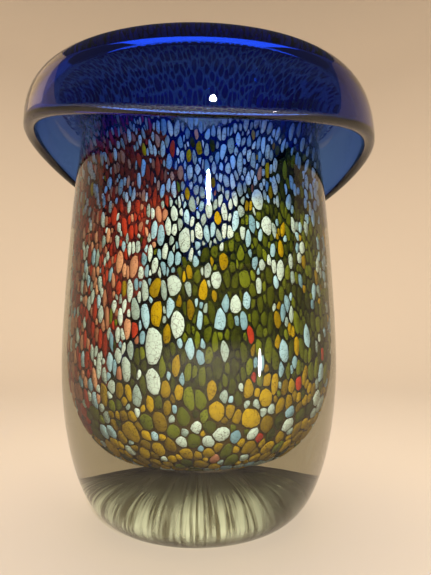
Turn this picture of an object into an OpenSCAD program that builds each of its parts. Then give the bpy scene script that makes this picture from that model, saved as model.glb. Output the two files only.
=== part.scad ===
// A hand-blown vase: a cobalt lining rolled in colour chips, cased in thick clear
// glass over a heavy clear foot, its mouth spun out and turned down as a wide brim.
// Origin at the centre of the resting face, +Z up, millimetres. The front faces -Y.

/* [Body] */
// Height from the resting face to the highest point of the brim
total_h = 150; // [144:1:160]
// Outer radius of the body at its widest
belly_r = 49.6; // [48:0.1:53]
// Outer radius of the neck under the brim
neck_r = 45.3; // [43:0.1:47]
// Height at which the body is widest
belly_h = 56; // [50:1:64]

/* [Foot] */
// Radius of the flat face that the vase rests on; the wall rounds down to it from the belly
rest_r = 30.5; // [26:0.5:38]
// Clear glass under the colour
foot_t = 22; // [18:0.5:26]
// Radius of the ground and polished hollow where the pontil was broken off
pontil_r = 13; // [8:0.5:18]
// Depth of that hollow
pontil_depth = 1.4; // [0.6:0.1:2]

/* [Layers] */
// Outer radius of the colour at its widest; the clear casing lies outside it
core_r = 32; // [29:0.1:36]
// Outer radius of the colour where the mouth begins to flare
core_neck_r = 30; // [28:0.1:34]
// Radius of the flat middle of the colour's rounded bottom
core_flat_r = 9; // [4:0.5:14]
// Height at which that rounding ends in the wall
core_round_z = 60; // [50:1:66]
// Bed of colour chips between casing and lining
frit_t = 1.2; // [1.1:0.1:1.6]
// Cobalt lining
lining_t = 1.3; // [1:0.1:2]

/* [Brim] */
// Height at which the mouth begins to flare
throat_z = 112; // [106:1:118]
// Height at which the outside of the neck turns out under the brim
neck_top = 132; // [128:1:134]
// Outer radius at the lip of the turned-down brim
lip_r = 63.6; // [60:0.1:68]
// How much wider the lip is from side to side than from front to back
lip_oval = 0.9; // [0:0.1:1.5]
// Radius at which the brim is highest
crest_r = 54; // [52:0.5:56]
// How much lower the crest is at the front and back than at the sides
crest_wave = 4; // [0:0.1:5]
// Thickness of the brim at its crest
crest_t = 5.5; // [4.5:0.1:6]
// Thickness of the brim at its lip
lip_t = 4.5; // [4:0.1:5]
// Mean height of the lip above the resting face
lip_h = 123.2; // [120:0.1:126]
// How far the lip droops front and back and lifts at the sides
lip_wave = 8.6; // [0:0.1:9]
// How much higher the lip is at the front than at the back
lip_pitch = 5.1; // [0:0.1:6]
// How much lower the lip hangs on the +X side than on the -X side
lip_tilt = 2.3; // [0:0.1:3]
// Share of the brim's thickness that is cobalt
skin_share = 0.26; // [0.2:0.01:0.4]

/* [Colour chips] */
// Rows of chips up the wall
chip_rows = 13; // [8:1:15]
// Chips in each row
chips_round = 24; // [16:1:28]
// Thickness of a chip
chip_t = 0.55; // [0.4:0.05:0.6]
// Share of its place in the row that a chip fills
chip_fill = 0.72; // [0.5:0.01:0.8]
// Thickness of the fine colour powder under the chips
powder_t = 0.2; // [0.15:0.05:0.3]

/* [Hidden] */
$fn = 96;

throat_r = core_neck_r - frit_t - lining_t;
crest_mean = total_h - crest_wave / 2;
seam_depth = skin_share * crest_t;
profile_steps = 24;
corner_steps = 14;
brim_steps = 60;
rise_steps = 6;
flap_steps = 9;
bead_steps = 4;
core_square = 2.5;

// Outer radius of the clear glass: a quarter oval from the resting face up to the belly,
// then a slow taper to the neck.
function wall_r(z) = let (low = max(0, (belly_h - z) / belly_h),
                          high = max(0, (z - belly_h) / (neck_top - belly_h)))
    z < belly_h ? rest_r + (belly_r - rest_r) * sqrt(max(0, 1 - low * low))
    : belly_r - (belly_r - neck_r) * pow(high, 1.6);

// One line of the coloured core from the middle of its bottom up to the throat:
// inset is how far it lies inside the outside of the colour.
function core_line(inset) = concat(
    [[0, foot_t + inset]],
    [for (i = [0:corner_steps]) let (a = 90 * i / corner_steps)
        [core_flat_r + (core_r - inset - core_flat_r) * pow(sin(a), 2 / core_square),
         core_round_z - (core_round_z - foot_t - inset) * pow(cos(a), 2 / core_square)]],
    [for (i = [1:profile_steps]) let (u = i / profile_steps)
        [core_r - inset - (core_r - core_neck_r) * pow(u, 1.6), core_round_z + (throat_z - core_round_z) * u]]);

frit_out = core_line(0);
frit_in = core_line(frit_t);
lining_in = core_line(frit_t + lining_t);
powder_out = core_line(frit_t - powder_t);

function reversed(list) = [for (i = [len(list) - 1:-1:0]) list[i]];

// Body-shaped shell between two lines, closed at the top.
module shell(outside, inside, turn = 360) {
    rotate_extrude(angle = turn) polygon(concat(outside, reversed(inside)));
}

// Outside of the clear glass between two heights.
function wall_line(from_z, to_z, steps) = [for (i = [0:steps])
    let (z = from_z + (to_z - from_z) * i / steps) [wall_r(z), z]];

// The same from the resting face up, in steps that are finest where it curves most.
function foot_line(to_z) = [for (i = [0:corner_steps])
    let (z = to_z * pow(i / corner_steps, 2)) [wall_r(z), z]];

module clear_foot() {
    hollow_r = (pontil_r * pontil_r + pontil_depth * pontil_depth) / (2 * pontil_depth);
    color([0.86, 0.88, 0.82, 0.45]) difference() {
        rotate_extrude() polygon(concat([[0, 0]], foot_line(foot_t), [[0, foot_t]]));
        translate([0, 0, pontil_depth - hollow_r]) sphere(r = hollow_r);
    }
}

// Quarter of a rounded square that goes from [r0, z0] up and over to [r1, z1].
function over(r0, z0, r1, z1, u, n) = let (a = 90 * u)
    [r1 + (r0 - r1) * pow(cos(a), 2 / n), z0 + (z1 - z0) * pow(sin(a), 2 / n)];

// The mouth's flare from the throat up to a mean crest, in two parts that meet at neck_top.
// The lower part is round; the upper one rises and falls with the crest.
function flare_split(crest) = asin((neck_top - throat_z) / (crest - throat_z)) / 90;
function flare_low(neck, crest) = [for (i = [0:rise_steps])
    over(neck, throat_z, crest_r, crest, flare_split(crest) * i / rise_steps, 2)];
function flare_high(neck, crest, turn) = [for (i = [0:rise_steps])
    let (p = over(neck, throat_z, crest_r, crest, flare_split(crest) + (1 - flare_split(crest)) * i / rise_steps, 2))
    [p[0], neck_top + (p[1] - neck_top) * (crest + crest_z(turn) - crest_mean - neck_top) / (crest - neck_top)]];

throat_low = flare_low(throat_r, crest_mean);
seam_low = flare_low(core_neck_r, crest_mean - seam_depth);

module clear_casing() color([0.88, 0.9, 0.85, 0.35])
    rotate_extrude() polygon(concat(wall_line(foot_t, neck_top, 2 * profile_steps),
        reversed([for (p = concat(frit_out, seam_low)) if (p[0] > 0 && p[1] != throat_z) p])));

module cobalt_lining() color([0.03, 0.08, 0.55, 0.8])
    shell(concat(frit_in, seam_low), concat(lining_in, [for (i = [1:rise_steps]) throat_low[i]]));

// Shape of the brim; turn is 0 at the front and 90 at +X.
function lip_z(turn) = lip_h + lip_pitch * cos(turn) - lip_wave * cos(2 * turn) - lip_tilt * sin(turn);
function lip_at(turn) = lip_r - lip_oval * cos(2 * turn);
function crest_z(turn) = total_h - crest_wave * (1 + cos(2 * turn)) / 2;
function flap_square(turn) = 2.2 + 0.4 * cos(turn) - 0.2 * sin(turn);

// The turned-down part: a line from the crest down to the lip.
function flap(turn, crest, lip) = [for (i = [flap_steps:-1:0])
    over(lip, lip_z(turn), crest_r, crest, i / flap_steps, flap_square(turn))];

function flare_top(turn) = flare_high(throat_r, crest_mean, turn);
function flare_seam(turn) = flare_high(core_neck_r, crest_mean - seam_depth, turn);
function flare_under(turn) = [for (i = [0:rise_steps])
    over(neck_r, neck_top, crest_r, crest_z(turn) - crest_t, i / rise_steps, 2)];
function flap_top(turn) = flap(turn, crest_z(turn), lip_at(turn));
function flap_seam(turn) = flap(turn, crest_z(turn) - seam_depth, lip_at(turn) - skin_share * lip_t);
function flap_under(turn) = flap(turn, crest_z(turn) - crest_t, lip_at(turn) - lip_t);

// Rounded clear lip, from the outer corner under to the inner one.
function lip_bead(turn) = [for (i = [1:bead_steps]) let (a = 180 * i / (bead_steps + 1))
    [lip_at(turn) - lip_t / 2 + lip_t / 2 * cos(a), lip_z(turn) - lip_t / 2 * sin(a)]];

function throat_section(turn) = concat(flare_top(turn), reversed(flare_seam(turn)));
function collar_section(turn) = concat(flare_seam(turn), reversed(flare_under(turn)));
function skin_section(turn) = concat(flap_top(turn), reversed(flap_seam(turn)));
function brim_casing_section(turn) = concat(flap_seam(turn),
    [for (p = lip_bead(turn)) if (p[0] < lip_at(turn) - skin_share * lip_t) p],
    reversed(flap_under(turn)));

// Sweeps one closed section, which changes with the turn, once round the axis.
module swept_ring(sections) {
    n = len(sections);
    m = len(sections[0]);
    points = [for (i = [0:n - 1]) for (p = sections[i])
        let (turn = 360 * i / n) [p[0] * sin(turn), -p[0] * cos(turn), p[1]]];
    faces = [for (i = [0:n - 1]) for (j = [0:m - 1]) for (k = [0, 1])
        let (a = i * m + j, b = i * m + (j + 1) % m,
             c = ((i + 1) % n) * m + (j + 1) % m, d = ((i + 1) % n) * m + j)
        k == 0 ? [a, b, c] : [a, c, d]];
    polyhedron(points = points, faces = faces, convexity = 6);
}

module clear_collar() color([0.88, 0.9, 0.88, 0.4])
    swept_ring([for (i = [0:brim_steps - 1]) collar_section(360 * i / brim_steps)]);

module cobalt_throat() color([0.02, 0.06, 0.5, 0.85])
    swept_ring([for (i = [0:brim_steps - 1]) throat_section(360 * i / brim_steps)]);

module clear_brim_casing() color([0.88, 0.9, 0.88, 0.4])
    swept_ring([for (i = [0:brim_steps - 1]) brim_casing_section(360 * i / brim_steps)]);

module cobalt_brim() color([0.02, 0.06, 0.5, 0.85])
    swept_ring([for (i = [0:brim_steps - 1]) skin_section(360 * i / brim_steps)]);

// Fine powder that colours the ground between the chips: rust on the left, olive on the
// right, bare cobalt in between. The angle runs from +X towards +Y.
module powder(from, span) rotate([0, 0, from]) shell(powder_out, frit_in, span);
module rust_powder() color([0.42, 0.16, 0.14]) powder(160, 85);
module olive_powder() color([0.2, 0.22, 0.08]) powder(-80, 140);

// A chip's colour number, from where it lies: turn is 0 at the front and 90 at +X.
WHITE = 0;
PALE_BLUE = 1;
SALMON = 2;
RED = 3;
AMBER = 4;
OLIVE = 5;
low_band_h = 64;
function pick(list, row, col) = list[(row * 7 + col * 5 + (row * col) % 3) % len(list)];
function side(turn, z) = turn + 0.45 * (z - 78);
function chip_colour(turn, z, row, col) =
    z < low_band_h ? pick([AMBER, AMBER, WHITE, OLIVE, AMBER, PALE_BLUE, WHITE], row, col)
    : abs(turn) > 140 ? pick([RED, OLIVE, SALMON, WHITE, AMBER, PALE_BLUE], row, col)
    : side(turn, z) < -35 ? pick([RED, SALMON, WHITE, SALMON, RED], row, col)
    : side(turn, z) < 15 ? pick([WHITE, PALE_BLUE, WHITE, PALE_BLUE, SALMON], row, col)
    : pick([OLIVE, WHITE, OLIVE, AMBER, PALE_BLUE, OLIVE], row, col);

chip_low_z = core_round_z - 10;
row_h = (throat_z - 1 - chip_low_z) / chip_rows;

// A flat oval chip of the given half sizes, lying against the wall at a turn and height.
module chip(turn, z, half_w, half_h) {
    up = max(0, (z - core_round_z) / (throat_z - core_round_z));
    down = max(0, (core_round_z - z) / (core_round_z - foot_t));
    bed_r = up > 0 ? core_r - (core_r - core_neck_r) * pow(up, 1.6)
        : core_flat_r + (core_r - core_flat_r) * pow(1 - pow(down, core_square), 1 / core_square);
    lean = atan2(core_neck_r - core_r, throat_z - core_round_z) * min(1, 1.6 * up);
    r = bed_r - (frit_t - powder_t - chip_t) / 2 - chip_t;
    outline = [for (i = [0:7]) let (a = 45 * i + 22.5) [half_h * cos(a), half_w * sin(a)]];
    rotate([0, 0, turn - 90]) translate([r, 0, z]) rotate([0, 90 + lean, 0])
        linear_extrude(height = chip_t) polygon(outline);
}

// All chips of one colour: alternate rows are shifted by half a place.
module chips(colour) {
    for (row = [0:chip_rows - 1], col = [0:chips_round - 1]) {
        turn = 360 * (col + 0.5 * (row % 2)) / chips_round;
        seen = turn > 180 ? turn - 360 : turn;
        z = chip_low_z + row_h * (row + 0.5);
        if (chip_colour(seen, z, row, col) == colour)
            chip(turn, z, chip_fill * PI * core_neck_r / chips_round * 0.75, chip_fill * row_h / 2);
    }
}

module white_frit() color([0.77, 0.81, 0.75]) chips(WHITE);
module pale_blue_frit() color([0.6, 0.72, 0.78]) chips(PALE_BLUE);
module salmon_frit() color([0.8, 0.52, 0.36]) chips(SALMON);
module red_frit() color([0.78, 0.19, 0.1]) chips(RED);
module amber_frit() color([0.69, 0.51, 0.06]) chips(AMBER);
module olive_frit() color([0.42, 0.42, 0.08]) chips(OLIVE);

clear_foot();
clear_casing();
clear_collar();
clear_brim_casing();
cobalt_lining();
cobalt_throat();
cobalt_brim();
rust_powder();
olive_powder();
white_frit();
pale_blue_frit();
salmon_frit();
red_frit();
amber_frit();
olive_frit();
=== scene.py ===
"""A hand-blown vase: cobalt lining and turned-down brim, colour chips, and one thick clear gather over all."""
import math
import random

import bmesh
import bpy
import numpy as np
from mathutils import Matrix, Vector


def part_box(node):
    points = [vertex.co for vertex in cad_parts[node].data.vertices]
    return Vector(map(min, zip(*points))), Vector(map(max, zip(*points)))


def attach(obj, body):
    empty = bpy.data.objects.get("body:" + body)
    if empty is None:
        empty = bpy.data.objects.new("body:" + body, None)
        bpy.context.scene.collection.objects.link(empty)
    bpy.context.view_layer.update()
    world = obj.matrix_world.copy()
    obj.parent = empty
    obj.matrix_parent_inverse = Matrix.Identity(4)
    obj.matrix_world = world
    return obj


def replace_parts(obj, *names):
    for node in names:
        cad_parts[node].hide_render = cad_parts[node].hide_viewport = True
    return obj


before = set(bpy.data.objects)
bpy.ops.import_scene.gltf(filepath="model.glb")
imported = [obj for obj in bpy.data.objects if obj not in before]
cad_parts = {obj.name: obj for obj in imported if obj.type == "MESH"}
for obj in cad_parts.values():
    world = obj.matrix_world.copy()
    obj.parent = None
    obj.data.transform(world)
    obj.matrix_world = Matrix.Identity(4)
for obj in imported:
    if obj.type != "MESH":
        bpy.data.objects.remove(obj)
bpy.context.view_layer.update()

MM = 0.001

# ---------------------------------------------------------------- sizes, in millimetres, as the CAD has them
TOTAL_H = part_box("cobalt_throat")[1].z / MM
NECK_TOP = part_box("clear_casing")[1].z / MM
FOOT_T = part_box("clear_foot")[1].z / MM
BELLY_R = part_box("clear_casing")[1].x / MM
CORE_R = 32.0
BELLY_H = 56.0
NECK_R = 45.3
THROAT_Z = 112.0
REST_R = 30.5
PONTIL_R = 13.0
PONTIL_DEPTH = 1.4
CORE_NECK_R = 30.0
CORE_FLAT_R = 9.0
CORE_ROUND_Z = 60.0
CORE_SQUARE = 2.5
FRIT_T = 1.2
LINING_T = 1.3
LIP_R = 63.6
LIP_OVAL = 0.9
CREST_R = 54.0
CREST_WAVE = 4.0
CREST_T = 5.5
LIP_T = 4.5
LIP_H = 123.2
LIP_WAVE = 8.6
LIP_PITCH = 5.1
LIP_TILT = 2.3
SKIN_SHARE = 0.26

TURNS = 192          # steps round the vase
HAIR = 0.06          # gap that keeps the coloured layers just inside the clear glass


def ease(u):
    v = min(1.0, max(0.0, u))
    return v * v * (3 - 2 * v)


# Every turn is an angle in radians: 0 at the front, a quarter turn at +X.
def wall_r(z):
    if z < BELLY_H:
        return REST_R + (BELLY_R - REST_R) * math.sqrt(max(0.0, 1 - ((BELLY_H - z) / BELLY_H) ** 2))
    return BELLY_R - (BELLY_R - NECK_R) * ((z - BELLY_H) / (NECK_TOP - BELLY_H)) ** 1.6


def lip_z(turn):
    return LIP_H + LIP_PITCH * math.cos(turn) - LIP_WAVE * math.cos(2 * turn) - LIP_TILT * math.sin(turn)


def lip_at(turn):
    return LIP_R - LIP_OVAL * math.cos(2 * turn)


def crest_z(turn):
    return TOTAL_H - CREST_WAVE * (1 + math.cos(2 * turn)) / 2


def flap_square(turn):
    return 2.2 + 0.4 * math.cos(turn) - 0.2 * math.sin(turn)


# ---------------------------------------------------------------- profile lines: (radius, height)
def over(r0, z0, r1, z1, u, square):
    """Quarter of a rounded square that goes from r0, z0 up and over to r1, z1."""
    a = math.pi / 2 * u
    return (r1 + (r0 - r1) * max(0.0, math.cos(a)) ** (2 / square),
            z0 + (z1 - z0) * max(0.0, math.sin(a)) ** (2 / square))


def core_line(inset, corner_steps=16, wall_steps=30):
    """The coloured core from the middle of its floor to the throat."""
    line = [(0.0, FOOT_T + inset)]
    for i in range(corner_steps + 1):
        a = math.pi / 2 * i / corner_steps
        line.append((CORE_FLAT_R + (CORE_R - inset - CORE_FLAT_R) * math.sin(a) ** (2 / CORE_SQUARE),
                     CORE_ROUND_Z - (CORE_ROUND_Z - FOOT_T - inset) * max(0.0, math.cos(a)) ** (2 / CORE_SQUARE)))
    for i in range(1, wall_steps):
        u = i / wall_steps
        line.append((CORE_R - inset - (CORE_R - CORE_NECK_R) * u ** 1.6,
                     CORE_ROUND_Z + (THROAT_Z - CORE_ROUND_Z) * u))
    return line


def flare(neck, neck_z, crest, steps=16):
    return [over(neck, neck_z, CREST_R, crest, i / steps, 2) for i in range(steps)]


def mouth_flare(turn, throat, depth, steps=24):
    """From the throat to the crest: round up to the top of the neck, then rising and falling with the crest."""
    mean = TOTAL_H - CREST_WAVE / 2 - depth
    lift = (crest_z(turn) - depth - NECK_TOP) / (mean - NECK_TOP)
    return [(r, z if z < NECK_TOP else NECK_TOP + (z - NECK_TOP) * lift)
            for r, z in flare(throat, THROAT_Z, mean, steps)]


def flap(turn, crest, lip, steps=24):
    return [over(lip, lip_z(turn), CREST_R, crest, i / steps, flap_square(turn)) for i in range(steps, -1, -1)]


def brim_line(turn, throat, share):
    """From the throat over the crest to the lip, a share of the brim's thickness below its top."""
    depth = share * CREST_T
    return mouth_flare(turn, throat, depth) + flap(turn, crest_z(turn) - depth, lip_at(turn) - share * LIP_T)


def clear_line(turn):
    """The whole clear gather: under the foot, up the wall, under the brim, round the lip, over and down inside."""
    line = [(PONTIL_R * i / 6, PONTIL_DEPTH * (1 - (i / 6) ** 2)) for i in range(7)]
    line += [(wall_r(z), z) for z in (BELLY_H * (i / 34) ** 2 for i in range(34))]
    line += [(wall_r(z), z) for z in (BELLY_H + (NECK_TOP - BELLY_H) * i / 30 for i in range(30))]
    crest = crest_z(turn) - CREST_T
    line += flare(NECK_R, NECK_TOP, crest) + flap(turn, crest, lip_at(turn) - LIP_T)
    for i in range(1, 10):
        a = math.pi * i / 10
        line.append((lip_at(turn) - LIP_T / 2 - LIP_T / 2 * math.cos(a), lip_z(turn) - LIP_T / 2 * math.sin(a)))
    line += brim_line(turn, CORE_NECK_R - FRIT_T - LINING_T, 0)[::-1]
    return line + core_line(FRIT_T + LINING_T)[::-1]


def cobalt_line(turn):
    """The cobalt gather: a cup that runs on as the skin of the brim and thins out at the lip."""
    inner_depth = FRIT_T + LINING_T - HAIR
    inner = core_line(inner_depth) + brim_line(turn, CORE_NECK_R - FRIT_T - LINING_T + HAIR, HAIR / CREST_T)
    outer = core_line(FRIT_T) + brim_line(turn, CORE_NECK_R - FRIT_T, SKIN_SHARE)
    (r0, z0), (r1, z1) = inner[-1], outer[-1]
    return inner + [((r0 + r1) / 2, (z0 + z1) / 2 - 0.5)] + outer[::-1]


# ---------------------------------------------------------------- mesh helpers
def put_in_scene(name, data):
    """Puts a mesh, a light or a camera in the scene."""
    made = bpy.data.objects.new(name, data)
    bpy.context.scene.collection.objects.link(made)
    return made


def finish_piece(name, bm):
    mesh = bpy.data.meshes.new(name)
    bm.to_mesh(mesh)
    bm.free()
    mesh.shade_smooth()
    return put_in_scene(name, mesh)


def spin_round(bm, verts, steps):
    """Joins the points of a profile line and spins it once round Z."""
    edges = [bm.edges.new(pair) for pair in zip(verts, verts[1:])]
    bmesh.ops.spin(bm, geom=verts + edges, cent=(0, 0, 0), axis=(0, 0, 1), angle=2 * math.pi, steps=steps,
                   use_merge=True)


def turned(name, line_at):
    """Spins the front's profile once round Z, then gives each step the profile of its own turn."""
    bm = bmesh.new()
    row = bm.verts.layers.int.new("row")
    verts = []
    for i, (r, z) in enumerate(line_at(0.0)):
        v = bm.verts.new((0.0, -r * MM, z * MM))
        v[row] = i
        verts.append(v)
    spin_round(bm, verts, TURNS)
    lines = {}
    for v in bm.verts:
        if math.hypot(v.co.x, v.co.y) < 1e-7:
            continue
        step = round(math.atan2(v.co.x, -v.co.y) / (2 * math.pi) * TURNS) % TURNS
        turn = 2 * math.pi * step / TURNS
        if step not in lines:
            lines[step] = line_at(turn)
        r, z = lines[step][v[row]]
        v.co = Vector((r * math.sin(turn), -r * math.cos(turn), z)) * MM
    bmesh.ops.remove_doubles(bm, verts=bm.verts[:], dist=1e-6)
    bmesh.ops.recalc_face_normals(bm, faces=bm.faces[:])
    bm.verts.layers.int.remove(row)
    return finish_piece(name, bm)


# ---------------------------------------------------------------- materials
def colour(text):
    """An sRGB hex value as the linear colour that a node takes."""
    parts = [int(text[i:i + 2], 16) / 255 for i in (0, 2, 4)]
    return [c / 12.92 if c <= 0.04045 else ((c + 0.055) / 1.055) ** 2.4 for c in parts] + [1.0]


def add(tree, kind, inputs=None, **settings):
    """Adds a node; inputs maps a socket's name or number to a value or to another node's output."""
    node = tree.nodes.new(kind)
    for name, value in settings.items():
        setattr(node, name, value)
    for name, value in (inputs or {}).items():
        if isinstance(value, bpy.types.NodeSocket):
            tree.links.new(value, node.inputs[name])
        else:
            node.inputs[name].default_value = value
    return node


def material(name):
    made = bpy.data.materials.new(name)
    made.use_nodes = True
    made.node_tree.nodes.clear()
    return made, made.node_tree


def calc(tree, operation, one, other):
    return add(tree, "ShaderNodeMath", {0: one, 1: other}, operation=operation).outputs[0]


def fade(tree, value, low, high, start=0.0, end=1.0):
    """Goes from start to end as the value goes from low to high, and stays there beyond."""
    return add(tree, "ShaderNodeMapRange", {"Value": value, 1: low, 2: high, 3: start, 4: end}).outputs[0]


def blend(tree, share, base, cover):
    """The base colour with a share of the cover colour over it."""
    return add(tree, "ShaderNodeMix", {0: share, 6: base, 7: cover}, data_type="RGBA").outputs[2]


def noise(tree, place, size, detail, rough=0.5):
    """Soft random patches; size in millimetres."""
    return add(tree, "ShaderNodeTexNoise", {"Vector": place, "Scale": 1 / (size * MM), "Detail": detail,
                                            "Roughness": rough}).outputs["Fac"]


def glass(name, tint, ior, absorb, density, shadow_tint):
    """Blown glass: clear to light on its way to other pieces, and deeper in colour where it is thick."""
    made, tree = material(name)
    body = add(tree, "ShaderNodeBsdfPrincipled", {"Base Color": colour(tint), "Roughness": 0.0, "IOR": ior,
                                                 "Transmission Weight": 1.0})
    passing = add(tree, "ShaderNodeBsdfTransparent", {"Color": colour(shadow_tint)})
    path = add(tree, "ShaderNodeLightPath")
    mix = add(tree, "ShaderNodeMixShader", {0: path.outputs["Is Shadow Ray"], 1: body.outputs[0],
                                            2: passing.outputs[0]})
    volume = add(tree, "ShaderNodeVolumeAbsorption", {"Color": colour(absorb), "Density": density})
    add(tree, "ShaderNodeOutputMaterial", {"Surface": mix.outputs[0], "Volume": volume.outputs[0]})
    return made


# Clear glass with a fire-polished skin: sharp highlights, strong bending, a faint warm grey where it is thickest.
CLEAR = glass("fire_polished_clear_glass", "F6F6EE", 1.5, "A8A88C", 20.0, "F9FBF4")
# Cobalt glass: azure where light crosses a thin skin once, and close to navy where it crosses more of it. It lies
# in clear glass, so light doesn't bend again where the two meet.
COBALT = glass("cobalt_glass", "A8E0FC", 1.0, "1A74EC", 1200.0, "A8E0FC")


def dress(piece, made):
    piece.data.materials.clear()
    piece.data.materials.append(made)
    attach(piece, "root")
    return piece


clear = dress(turned("clear_gather", clear_line), CLEAR)
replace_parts(clear, "clear_foot", "clear_casing", "clear_collar", "clear_brim_casing")
cobalt = dress(turned("cobalt_gather", cobalt_line), COBALT)
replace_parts(cobalt, "cobalt_lining", "cobalt_throat", "cobalt_brim")


# ---------------------------------------------------------------- the bed of colour under the casing
SEED = 41
CHIP_SIDES = 12
CHIP_FLOOR = 0.62      # depth of a chip's back, measured inwards from the casing's inner face
VEIN = 0.17            # half the dark vein between two chips
RUST_DEPTH = 0.72
OLIVE_DEPTH = 0.92
CORNER_SHARP = 12.0    # how sharply a chip's outline turns where it meets the next chip
# Rounds of throwing chips: their scale, how many are thrown, and how near they may land (1 is touching).
THROWING = ((1.3, 2500, 0.9), (1.08, 9000, 0.86), (0.88, 16000, 0.84), (0.66, 24000, 0.84))
CHIP_ROOM = 12000      # room for the chips that are kept
FLAP_SHADE_FROM, FLAP_SHADE_TO = 120, 134      # heights between which the chips on the flare, behind the brim, fade to navy as painted shade
BROWN_TO, BROWN_FROM = 30, 50      # heights between which the powder turns brown towards the floor


def bed_line():
    """Outer face of the bed from the middle of the floor to the crest: arc length, radius, height, outward normal
    and how far it follows the crest as that dips and lifts."""
    body = core_line(0, 30, 60)
    crest = TOTAL_H - CREST_WAVE / 2 - SKIN_SHARE * CREST_T
    r, z = np.array(body + flare(CORE_NECK_R, THROAT_Z, crest, 40)).T
    follow = np.clip((z - NECK_TOP) / (crest - NECK_TOP), 0, 1)
    step = np.maximum(np.hypot(np.diff(r), np.diff(z)), 1e-6)
    s = np.concatenate([[0], np.cumsum(step)])
    tr, tz = np.gradient(r, s), np.gradient(z, s)
    size = np.hypot(tr, tz)
    return s, r, z, tz / size, -tr / size, follow


BED = bed_line()


def bed_radius(s):
    return np.interp(s, BED[0], BED[1])


def bed_height(s):
    return np.interp(s, BED[0], BED[2])


def arc_at(z):
    """Arc length at a height on the wall."""
    wall = BED[2] > FOOT_T + 0.01
    return float(np.interp(z, BED[2][wall], BED[0][wall]))


def bed_points(turn, s, depth):
    """Points in metres, for turns in degrees, arc lengths and depths in millimetres."""
    r, z, nr, nz, follow = (np.interp(s, BED[0], part) for part in BED[1:])
    a = np.radians(turn)
    out_r = r - depth * nr
    z = z - depth * nz - follow * CREST_WAVE * np.cos(2 * a) / 2
    return np.stack([out_r * np.sin(a), -out_r * np.cos(a), z], -1) * MM


# Where one patch of colour meets the next: heights and the turns in degrees that go with them.
RUST_EDGE = ((35, 42, 48, 60, 70, 79, 91, 103, 109, 125), (-80, -65, -54, -43, -37, -32, -24, -17, -12, -24))
OLIVE_EDGE = ((35, 43, 61, 73, 84, 94, 109, 123), (-70, -44, -23, -15, -1, 22, 40, 54))


def rust_edge(z):
    return float(np.interp(z, *RUST_EDGE))


def olive_edge(z):
    return float(np.interp(z, *OLIVE_EDGE))


WHITE, PALE_BLUE, SALMON, RED, AMBER, OLIVE = range(6)
# Chances of each colour (white, pale blue, salmon, red, amber, olive) in each patch.
PATCHES = {
    "rust": (0.27, 0.06, 0.27, 0.39, 0.01, 0.00),
    "seam": (0.50, 0.12, 0.16, 0.18, 0.02, 0.02),
    "white": (0.66, 0.25, 0.03, 0.01, 0.02, 0.03),
    "bare": (0.0, 0.06, 0.0, 0.0, 0.0, 0.05),
    "olive": (0.12, 0.10, 0.00, 0.003, 0.08, 0.70),
    "low": (0.18, 0.07, 0.01, 0.003, 0.46, 0.277),
    "floor": (0.17, 0.02, 0.01, 0.003, 0.65, 0.147),
}


def patch(turn, z, draw):
    """Which patch of colour a chip falls in; the draw, from 0 to 1, makes the borders ragged. High on the right of
    the neck the bed is nearly bare, and the cobalt shows."""
    if z < 31 + 4 * draw:
        return "floor"
    if z < 43 + 8 * draw and turn > -60 + 14 * draw:
        return "low"
    wobble = 11 * (draw - 0.5)
    if z > 103 + 0.6 * wobble and 42 + wobble < turn < 100 + wobble:
        return "bare"
    if turn < -150 + wobble or turn > 140 + wobble:
        return "white" if draw < 0.7 else "olive"
    if turn < rust_edge(z) - 8 + wobble:
        return "rust"
    if turn < rust_edge(z) + 5 + wobble:
        return "seam"
    if turn < olive_edge(z) + 2 * wobble:
        return "white"
    return "olive"


def chip_size(turn, z):
    """Usual width and height of a chip: small and narrow at the top, larger and rounder near the floor,
    and broader towards the sides."""
    low = 1 - ease((z - 34) / 22)
    middle = math.exp(-((z - 62) / 16) ** 2)
    width = 1.55 + 0.4 * middle + 1.2 * low
    height = width * (2.55 - 1.2 * low)
    if turn < rust_edge(z):
        width *= 0.8
    if z > 100:
        width *= 0.85
    return width * (1 + 0.9 * ease((abs(turn) - 45) / 70)), height


# Large chips with a place of their own: colour, turn, height, width, length, tone.
LARGE_CHIPS = [
    (WHITE, -21.3, 58.8, 5.2, 12.6, 0.72), (WHITE, -21.0, 48.6, 4.3, 7.2, 0.75), (AMBER, -19.6, 68.6, 3.6, 8.4, 0.80),
    (PALE_BLUE, -25.4, 67.6, 2.8, 8.6, 0.75), (AMBER, -20.6, 76.2, 3.6, 5.2, 0.35),
    (WHITE, -8.8, 65.0, 3.8, 8.6, 0.85),
    (AMBER, -38.0, 34.0, 5.6, 8.0, 0.45), (WHITE, 19.0, 71.4, 3.2, 5.6, 0.80), (PALE_BLUE, 25.0, 72.6, 2.8, 5.0, 0.8),
    (AMBER, 29.0, 38.0, 6.0, 6.6, 0.95), (WHITE, 9.5, 78.5, 3.0, 5.6, 0.70), (PALE_BLUE, 11.5, 66.6, 3.2, 7.4, 0.70),
    (WHITE, -11.0, 77.0, 3.6, 6.2, 0.60), (WHITE, -6.0, 90.5, 3.6, 8.0, 0.50), (WHITE, -36.0, 52.0, 3.4, 7.6, 0.45),
    (RED, 58.5, 46.8, 2.6, 5.0, 0.95), (AMBER, 36.0, 43.5, 4.4, 5.4, 0.85), (PALE_BLUE, 46.4, 57.0, 3.6, 7.0, 0.8),
    (AMBER, 10.5, 40.5, 4.4, 6.2, 0.80), (WHITE, 13.0, 34.0, 4.4, 4.6, 0.75), (OLIVE, 24.0, 79.0, 3.4, 5.4, 0.75),
    (SALMON, -42.5, 84.5, 3.0, 7.2, 0.85), (SALMON, -33.0, 83.0, 2.8, 6.8, 0.65), (RED, -48.0, 100.0, 2.6, 7.4, 1.00),
    (WHITE, 46.0, 82.4, 3.4, 7.6, 0.80), (WHITE, 38.0, 96.0, 3.4, 6.8, 0.80), (WHITE, 33.0, 104.0, 3.8, 7.2, 0.70),
]


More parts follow.
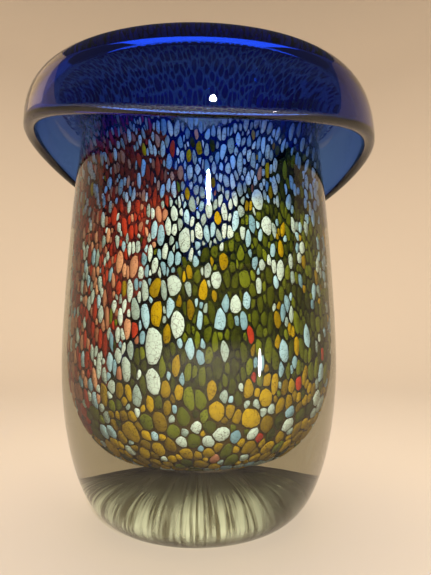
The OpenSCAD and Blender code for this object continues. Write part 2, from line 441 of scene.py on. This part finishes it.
def scatter_chips(rng):
    """Throws chips on the bed, large ones first, and keeps each that lands clear of the others."""
    top = arc_at(TOTAL_H - 3)
    kept = [(turn, arc_at(z), w, h, c, tone) for c, turn, z, w, h, tone in LARGE_CHIPS]
    spots = np.zeros((CHIP_ROOM, 4))
    spots[:len(kept)] = [k[:4] for k in kept]
    for scale, throws, reach in THROWING:
        for _ in range(throws):
            s = math.sqrt(rng.random()) * 14 if rng.random() < 0.03 else rng.uniform(9, top)
            turn = rng.uniform(-180, 180)
            r, z = float(bed_radius(s)), float(bed_height(s))
            if r < 2:
                continue
            w, h = chip_size(turn, z)
            spread = scale * rng.uniform(0.82, 1.2)
            w, h = w * spread, h * spread * rng.uniform(0.8, 1.35)
            seen = spots[:len(kept)]
            near = seen[np.abs(seen[:, 1] - s) < 12]
            across = np.radians((near[:, 0] - turn + 180) % 360 - 180) * r
            gap = np.hypot(across / (near[:, 2] + w), (near[:, 1] - s) / (near[:, 3] + h)) * 2
            if len(gap) and gap.min() < reach:
                continue
            chances = PATCHES[patch(turn, z, rng.random())]
            pick, c = rng.random(), 0
            while c < len(chances) and pick > chances[c]:
                pick -= chances[c]
                c += 1
            if c == len(chances):
                continue
            spots[len(kept)] = (turn, s, w, h)
            kept.append((turn, s, w, h, c, rng.random() ** (1.7 if c == OLIVE else 1.0)))
    return kept


def chip_outlines(kept):
    """Each chip grows until it meets its neighbours, which leaves a thin vein of cobalt between them."""
    spots = np.array([k[:4] for k in kept])
    r = np.maximum(bed_radius(spots[:, 1]), 2.0)
    ways = np.radians(np.arange(CHIP_SIDES) * 360 / CHIP_SIDES)
    outlines = np.zeros((len(kept), CHIP_SIDES))
    for i, (turn, s, w, h) in enumerate(spots):
        near = np.nonzero(np.abs(spots[:, 1] - s) < 14)[0]
        near = near[near != i]
        across = np.radians((spots[near, 0] - turn + 180) % 360 - 180) * r[i] / w
        along = (spots[near, 1] - s) / h
        away = np.hypot(across, along)
        order = np.argsort(away)[:16]
        near, across, along, away = near[order], across[order], along[order], away[order]
        share = w / (w + spots[near, 2])
        reach = np.maximum(share * away - VEIN / w, 0.08)
        facing = np.cos(ways[:, None] - np.arctan2(along, across)[None, :])
        limit = np.where(facing > 0.08, reach / np.maximum(facing, 0.08), 9.0)
        own = 0.60 + 0.08 * np.cos(2 * ways + i) + 0.04 * np.cos(3 * ways + 2.6 * i)
        limit = np.concatenate([limit, own[:, None]], 1)
        outlines[i] = (limit ** -CORNER_SHARP).sum(1) ** (-1 / CORNER_SHARP)
    return outlines


def chip_template():
    """One flat chip of unit radius with a softened face, lying on its back: height is its depth share."""
    bm = bmesh.new()
    bmesh.ops.create_circle(bm, cap_ends=True, segments=CHIP_SIDES, radius=0.94)
    top = next(iter(bm.faces))
    for reach, height in ((1.0, 0.45), (0.82, 1.0)):
        made = bmesh.ops.extrude_face_region(bm, geom=[top])["geom"]
        top = next(part for part in made if isinstance(part, bmesh.types.BMFace))
        for v in top.verts:
            flat = math.hypot(v.co.x, v.co.y)
            v.co = Vector((v.co.x * reach / flat, v.co.y * reach / flat, height))
    bmesh.ops.recalc_face_normals(bm, faces=bm.faces[:])
    return bm


def chip_tray(name, kept, outlines, rng):
    """All chips of one colour as one piece, each a copy of the template laid on the bed."""
    bm = chip_template()
    tray = bpy.data.meshes.new(name)
    bm.to_mesh(tray)
    bm.free()
    template = np.array([v.co for v in tray.vertices])
    many = bmesh.new()
    for _ in kept:
        many.from_mesh(tray)
    many.to_mesh(tray)
    many.free()
    n = len(template)
    facing = np.degrees(np.arctan2(template[:, 1], template[:, 0]))
    way = np.round(facing / 360 * CHIP_SIDES).astype(int) % CHIP_SIDES
    radius = np.hypot(template[:, 0], template[:, 1])
    places = np.zeros((len(kept), n, 3))
    tones = np.zeros((len(kept), n))
    for i, (turn, s, w, h, _, tone) in enumerate(kept):
        reach = outlines[i][way] * radius
        angle = way * 2 * np.pi / CHIP_SIDES
        across, along = reach * np.cos(angle) * w, reach * np.sin(angle) * h
        across = across + rng.uniform(-0.12, 0.10) * along
        lift = rng.uniform(0.0, 0.12)
        depth = CHIP_FLOOR - lift - (CHIP_FLOOR - 0.16) * template[:, 2]
        at = np.maximum(s + along, 0.3)
        places[i] = bed_points(turn + np.degrees(across / np.maximum(bed_radius(at), 2.0)), at, depth)
        tones[i] = tone
    tray.vertices.foreach_set("co", places.ravel())
    layer = tray.attributes.new("tone", "FLOAT", "POINT")
    layer.data.foreach_set("value", tones.ravel())
    tray.update()
    tray.shade_smooth()
    return put_in_scene(name, tray)


def ground(name, low_z, high_z, left, right, depth):
    """A thin sheet of fused powder between two ragged edges given as turns at a height."""
    s0, s1 = (0.5 if low_z is None else arc_at(low_z)), arc_at(high_z)
    rows = 110
    bm = bmesh.new()
    along = bm.verts.layers.float.new("along")
    verts = []
    for i in range(rows + 1):
        v = bm.verts.new((0.0, -1.0, i / rows))
        v[along] = s0 + (s1 - s0) * i / rows
        verts.append(v)
    edges = [bm.edges.new(pair) for pair in zip(verts, verts[1:])]
    bmesh.ops.spin(bm, geom=verts + edges, cent=(0, 0, 0), axis=(0, 0, 1), angle=1.0, steps=96)
    for v in bm.verts:
        share = math.atan2(v.co.x, -v.co.y)
        z = float(bed_height(v[along]))
        turn = left(z) + (right(z) - left(z)) * share
        v.co = Vector(bed_points(np.array(turn), np.array(v[along]), depth))
    bm.verts.layers.float.remove(along)
    bmesh.ops.recalc_face_normals(bm, faces=bm.faces[:])
    bmesh.ops.solidify(bm, geom=bm.faces[:], thickness=0.12 * MM)
    bmesh.ops.recalc_face_normals(bm, faces=bm.faces[:])
    return finish_piece(name, bm)


def ragged(z, seed):
    return 2.2 * math.sin(0.41 * z + seed) + 1.3 * math.sin(1.07 * z + 2.3 * seed)


def chip_glass(name, dark, light, speck, crazing):
    """Opal or strongly coloured glass chip, seen through clear glass, so with no gloss of its own.
    Iron specks and hair-fine crazing sit on a body that differs from chip to chip; on the flare, behind the
    turned-down brim, the chips fade to cobalt navy as painted shade."""
    made, tree = material(name)
    place = add(tree, "ShaderNodeTexCoord").outputs["Object"]
    tone = add(tree, "ShaderNodeAttribute", attribute_name="tone").outputs["Fac"]
    shade = calc(tree, "ADD", tone, calc(tree, "MULTIPLY", noise(tree, place, size=1.8, detail=3.0), 0.55))
    body = blend(tree, fade(tree, shade, 0.1, 1.35), colour(dark), colour(light))
    patchy = fade(tree, noise(tree, place, size=3.5, detail=1.0), 0.35, 0.65, 0.10, -0.02)
    grain = calc(tree, "SUBTRACT", noise(tree, place, size=0.42, detail=1.0, rough=0.4), patchy)
    spotted = blend(tree, fade(tree, grain, 0.57, 0.64, 0.0, 0.6), body, colour(speck))
    cracks = add(tree, "ShaderNodeTexVoronoi", {"Vector": place, "Scale": 1 / (1.9 * MM)}, feature="DISTANCE_TO_EDGE")
    crack = fade(tree, cracks.outputs["Distance"], 0.012, 0.045, crazing, 0.0)
    crazed = blend(tree, crack, spotted, colour(speck))
    height = add(tree, "ShaderNodeSeparateXYZ", {0: place}).outputs["Z"]
    # Painted shade: chips on the flare, behind the turned-down brim, darken towards cobalt navy with height.
    painted_flap_shade = fade(tree, height, FLAP_SHADE_FROM * MM, FLAP_SHADE_TO * MM, 0.0, 0.9)
    bump = add(tree, "ShaderNodeBump", {"Height": grain, "Strength": 0.25, "Distance": 0.1 * MM})
    chip = add(tree, "ShaderNodeBsdfPrincipled", {"Base Color": blend(tree, painted_flap_shade, crazed, colour("08186C")),
                                                  "Roughness": 0.7, "Specular IOR Level": 0.0,
                                                  "Normal": bump.outputs[0]})
    add(tree, "ShaderNodeOutputMaterial", {"Surface": chip.outputs[0]})
    return made


def powder(name, dark, light, low):
    """Fine powder fused to the lining: a mottled ground that turns brown towards the floor."""
    made, tree = material(name)
    place = add(tree, "ShaderNodeTexCoord").outputs["Object"]
    mottle = fade(tree, noise(tree, place, size=1.3, detail=4.0), 0.42, 0.66)
    body = blend(tree, mottle, colour(dark), colour(light))
    height = add(tree, "ShaderNodeSeparateXYZ", {0: place}).outputs["Z"]
    body = blend(tree, fade(tree, height, BROWN_TO * MM, BROWN_FROM * MM, 1.0, 0.0), body, colour(low))
    fused = add(tree, "ShaderNodeBsdfPrincipled", {"Base Color": body, "Roughness": 0.8, "Specular IOR Level": 0.0})
    add(tree, "ShaderNodeOutputMaterial", {"Surface": fused.outputs[0]})
    return made


# The chips of each colour: piece, node, and its glass as dark body, light body, specks and how far crazing shows.
CHIP_TRAYS = {
    WHITE: ("white_chips", "white_frit", "white_opal_glass", "7C9088", "D6E2D6", "4A3020", 0.45),
    PALE_BLUE: ("pale_blue_chips", "pale_blue_frit", "pale_blue_opal_glass", "5E8494", "B4D4E0", "3A3C38", 0.2),
    SALMON: ("salmon_chips", "salmon_frit", "salmon_opal_glass", "8A4A34", "D89A72", "6A2A1C", 0.15),
    RED: ("red_chips", "red_frit", "vermilion_glass", "4A1C1C", "B8381E", "2A0C10", 0.15),
    AMBER: ("amber_chips", "amber_frit", "mustard_amber_glass", "5E4A06", "C09A0C", "3E2606", 0.3),
    OLIVE: ("olive_chips", "olive_frit", "olive_glass", "161C08", "747A18", "10140A", 0.15),
}


def colour_bed():
    rng = random.Random(SEED)
    kept = scatter_chips(rng)
    outlines = chip_outlines(kept)
    for number, (name, node, *look) in CHIP_TRAYS.items():
        chosen = [i for i, k in enumerate(kept) if k[4] == number]
        piece = chip_tray(name, [kept[i] for i in chosen], outlines[chosen], rng)
        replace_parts(dress(piece, chip_glass(*look)), node)
    rust = ground("rust_ground", 34, THROAT_Z + 14, lambda z: -158 + ragged(z, 4),
                  lambda z: rust_edge(z) + 4 + ragged(z, 1), RUST_DEPTH)

    def low(z):
        return 1 - ease((z - 42) / 12)

    olive = ground("olive_ground", None, THROAT_Z + 12,
                   lambda z: (olive_edge(z) - 2 + ragged(z, 2)) * (1 - low(z)) - 179.5 * low(z),
                   lambda z: (146 + ragged(z, 3)) * (1 - low(z)) + 179.5 * low(z), OLIVE_DEPTH)
    rust_look = powder("fused_rust_powder", "2C1218", "7A2E20", "4A2C10")
    olive_look = powder("fused_olive_powder", "0E1210", "2E340E", "4E3A0C")
    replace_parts(dress(rust, rust_look), "rust_powder")
    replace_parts(dress(olive, olive_look), "olive_powder")


# ---------------------------------------------------------------- the streaks in the foot, with painted light and shade
DOME_TOP_R = 9         # flat middle of the dome of streaks
DOME_SPREAD = 30       # how far its shoulder spreads beyond that
DOME_LOW_Z = 3         # height where the shoulder ends
DOME_RISE = 18.2
DOME_DROOP = 1.2       # 1 is a quarter of an ellipse; more makes the shoulder hang
DOME_COVER = 0.8       # clear glass outside it
DOME_END = (34.5, 2.4)


def reamy_threads_and_painted_shade():
    """Reamy clear glass: threads drawn out where the last gather was wrapped round the foot. Their pale and dark
    colour is painted light and shade seen through the foot, and it darkens further as painted shade just under the
    colour and towards the right side.
    """
    made, tree = material("reamy_glass_painted_light_and_shade")
    place = add(tree, "ShaderNodeTexCoord").outputs["Object"]
    x, y, z = add(tree, "ShaderNodeSeparateXYZ", {0: place}).outputs
    across = calc(tree, "MULTIPLY", calc(tree, "ARCTAN2", x, y), 30 * MM)
    along = calc(tree, "MULTIPLY", z, 0.06)
    drawn = add(tree, "ShaderNodeCombineXYZ", {0: across, 1: along}).outputs[0]
    # Painted light and shade: the pale and dark threads follow real cords in the glass, but their colours stand for
    # bright floor and shade seen through the foot.
    thread = fade(tree, noise(tree, drawn, size=1.1, detail=3.0), 0.40, 0.60)
    body = blend(tree, thread, colour("564F34"), colour("B4B294"))
    # Painted shade: the sheet goes dark olive just under the colour bed and towards the right side of the foot.
    high = fade(tree, z, 13 * MM, 19 * MM, 0.0, 0.9)
    shade_on_right = fade(tree, x, 10 * MM, 24 * MM, 0.0, 0.9)
    body = blend(tree, calc(tree, "MAXIMUM", high, shade_on_right), body, colour("2A2410"))
    veil = fade(tree, noise(tree, drawn, size=7, detail=1.0), 0.38, 0.62, 0.45, 0.9)
    rim = fade(tree, z, 2.5 * MM, 8 * MM, 0.25, 1.0)
    thin = add(tree, "ShaderNodeBsdfPrincipled", {"Base Color": body, "Roughness": 0.9, "Specular IOR Level": 0.0,
                                                  "Alpha": calc(tree, "MULTIPLY", veil, rim)})
    add(tree, "ShaderNodeOutputMaterial", {"Surface": thin.outputs[0]})
    return made


def foot_streaks_and_painted_shade():
    """The drawn-out threads in the foot, with painted light and shade, as one thin dome from under the colour out and
    down to the resting face.
    """
    line = [(DOME_TOP_R + DOME_SPREAD * math.sin(a), DOME_LOW_Z + DOME_RISE * math.cos(a) ** DOME_DROOP)
            for a in (math.pi / 2 * i / 16 for i in range(17))]
    line = [(min(r, wall_r(z) - DOME_COVER), z) for r, z in line] + [DOME_END]
    bm = bmesh.new()
    verts = [bm.verts.new((0.0, -r * MM, z * MM)) for r, z in line]
    spin_round(bm, verts, 120)
    bmesh.ops.remove_doubles(bm, verts=bm.verts[:], dist=1e-6)
    bmesh.ops.recalc_face_normals(bm, faces=bm.faces[:])
    bmesh.ops.solidify(bm, geom=bm.faces[:], thickness=0.05 * MM)
    bmesh.ops.recalc_face_normals(bm, faces=bm.faces[:])
    return dress(finish_piece("foot_streaks_and_painted_shade", bm), reamy_threads_and_painted_shade())


colour_bed()
foot_streaks_and_painted_shade()


# ---------------------------------------------------------------- stage, lights and camera, in metres
SWEEP_FLAT_R = 0.35    # the flat middle of the floor
SWEEP_BEND_R = 1.05    # the round that takes it up behind the vase
SWEEP_TOP = (1.4, 1.6)
AIM_Z = 0.08           # where the lights point
CAMERA_PLACE = (0.0057, -0.1644, 0.0653)
CAMERA_TILT = 5        # degrees up from level
CAMERA_LENS = 26.9     # in millimetres, before a sensor 36 wide


def studio_floor():
    bend = [(SWEEP_FLAT_R + SWEEP_BEND_R * math.sin(a), SWEEP_BEND_R - SWEEP_BEND_R * math.cos(a))
            for a in (math.pi / 2 * i / 32 for i in range(33))]
    line = [(0.0, 0.0)] + bend + [SWEEP_TOP]
    bm = bmesh.new()
    verts = [bm.verts.new((0.0, -r, z)) for r, z in line]
    spin_round(bm, verts, 96)
    bmesh.ops.remove_doubles(bm, verts=bm.verts[:], dist=1e-6)
    for v in bm.verts:
        # The sweep rises behind the vase and stays low in front, so that it hardly mirrors in the glass.
        v.co.z *= 0.25 + 0.75 * ease((v.co.y / max(math.hypot(v.co.x, v.co.y), 1e-6) + 0.2) / 0.6)
    bmesh.ops.recalc_face_normals(bm, faces=bm.faces[:])
    floor = finish_piece("studio_floor", bm)
    made, tree = material("pale_studio_floor")
    paper = add(tree, "ShaderNodeBsdfPrincipled", {"Base Color": colour("D6C4AC"), "Roughness": 0.8})
    add(tree, "ShaderNodeOutputMaterial", {"Surface": paper.outputs[0]})
    floor.data.materials.append(made)


def softbox(name, azimuth, elevation, distance, width, height, watts, tint="FFFFFF", away=False, round_face=False):
    """A soft light that faces the vase, or away from it; azimuth 0 is in front of the vase and 90 on its right."""
    aim = Vector((0, 0, AIM_Z))
    a, e = math.radians(azimuth), math.radians(elevation)
    place = aim + distance * Vector((math.sin(a) * math.cos(e), -math.cos(a) * math.cos(e), math.sin(e)))
    data = bpy.data.lights.new(name, "AREA")
    data.shape = "ELLIPSE" if round_face else "RECTANGLE"
    data.size, data.size_y = width, height
    data.energy = watts
    data.color = colour(tint)[:3]
    lamp = put_in_scene(name, data)
    lamp.location = place
    facing = Vector((place.x, place.y, 0)) if away else aim - place
    lamp.rotation_euler = facing.to_track_quat("-Z", "Y").to_euler()
    return lamp


def light_and_camera():
    softbox("key", 8, 26, 0.9, 0.05, 0.09, 13, round_face=True)
    softbox("left_card", -116, 38, 0.8, 0.3, 0.3, 0.22, "FFD8A8")
    softbox("low_glint", 44, -9, 0.35, 0.015, 0.05, 0.08, round_face=True)
    softbox("top_fill", 180, 78, 1.1, 0.9, 0.9, 8, "FFF4E8").visible_glossy = False
    softbox("back_wash", 180, 74, 0.9, 1.6, 0.9, 6.0, "FFF0E0", away=True).visible_glossy = False
    world = bpy.data.worlds.new("studio")
    world.use_nodes = True
    world.node_tree.nodes["Background"].inputs["Color"].default_value = colour("E8E4E0")
    world.node_tree.nodes["Background"].inputs["Strength"].default_value = 0.1
    bpy.context.scene.world = world

    data = bpy.data.cameras.new("camera")
    data.sensor_width = 36
    data.lens = CAMERA_LENS
    camera = put_in_scene("camera", data)
    camera.location = CAMERA_PLACE
    camera.rotation_euler = (math.radians(90 + CAMERA_TILT), 0, 0)
    bpy.context.scene.camera = camera
    bpy.context.scene.view_settings.view_transform = "Standard"


studio_floor()
light_and_camera()
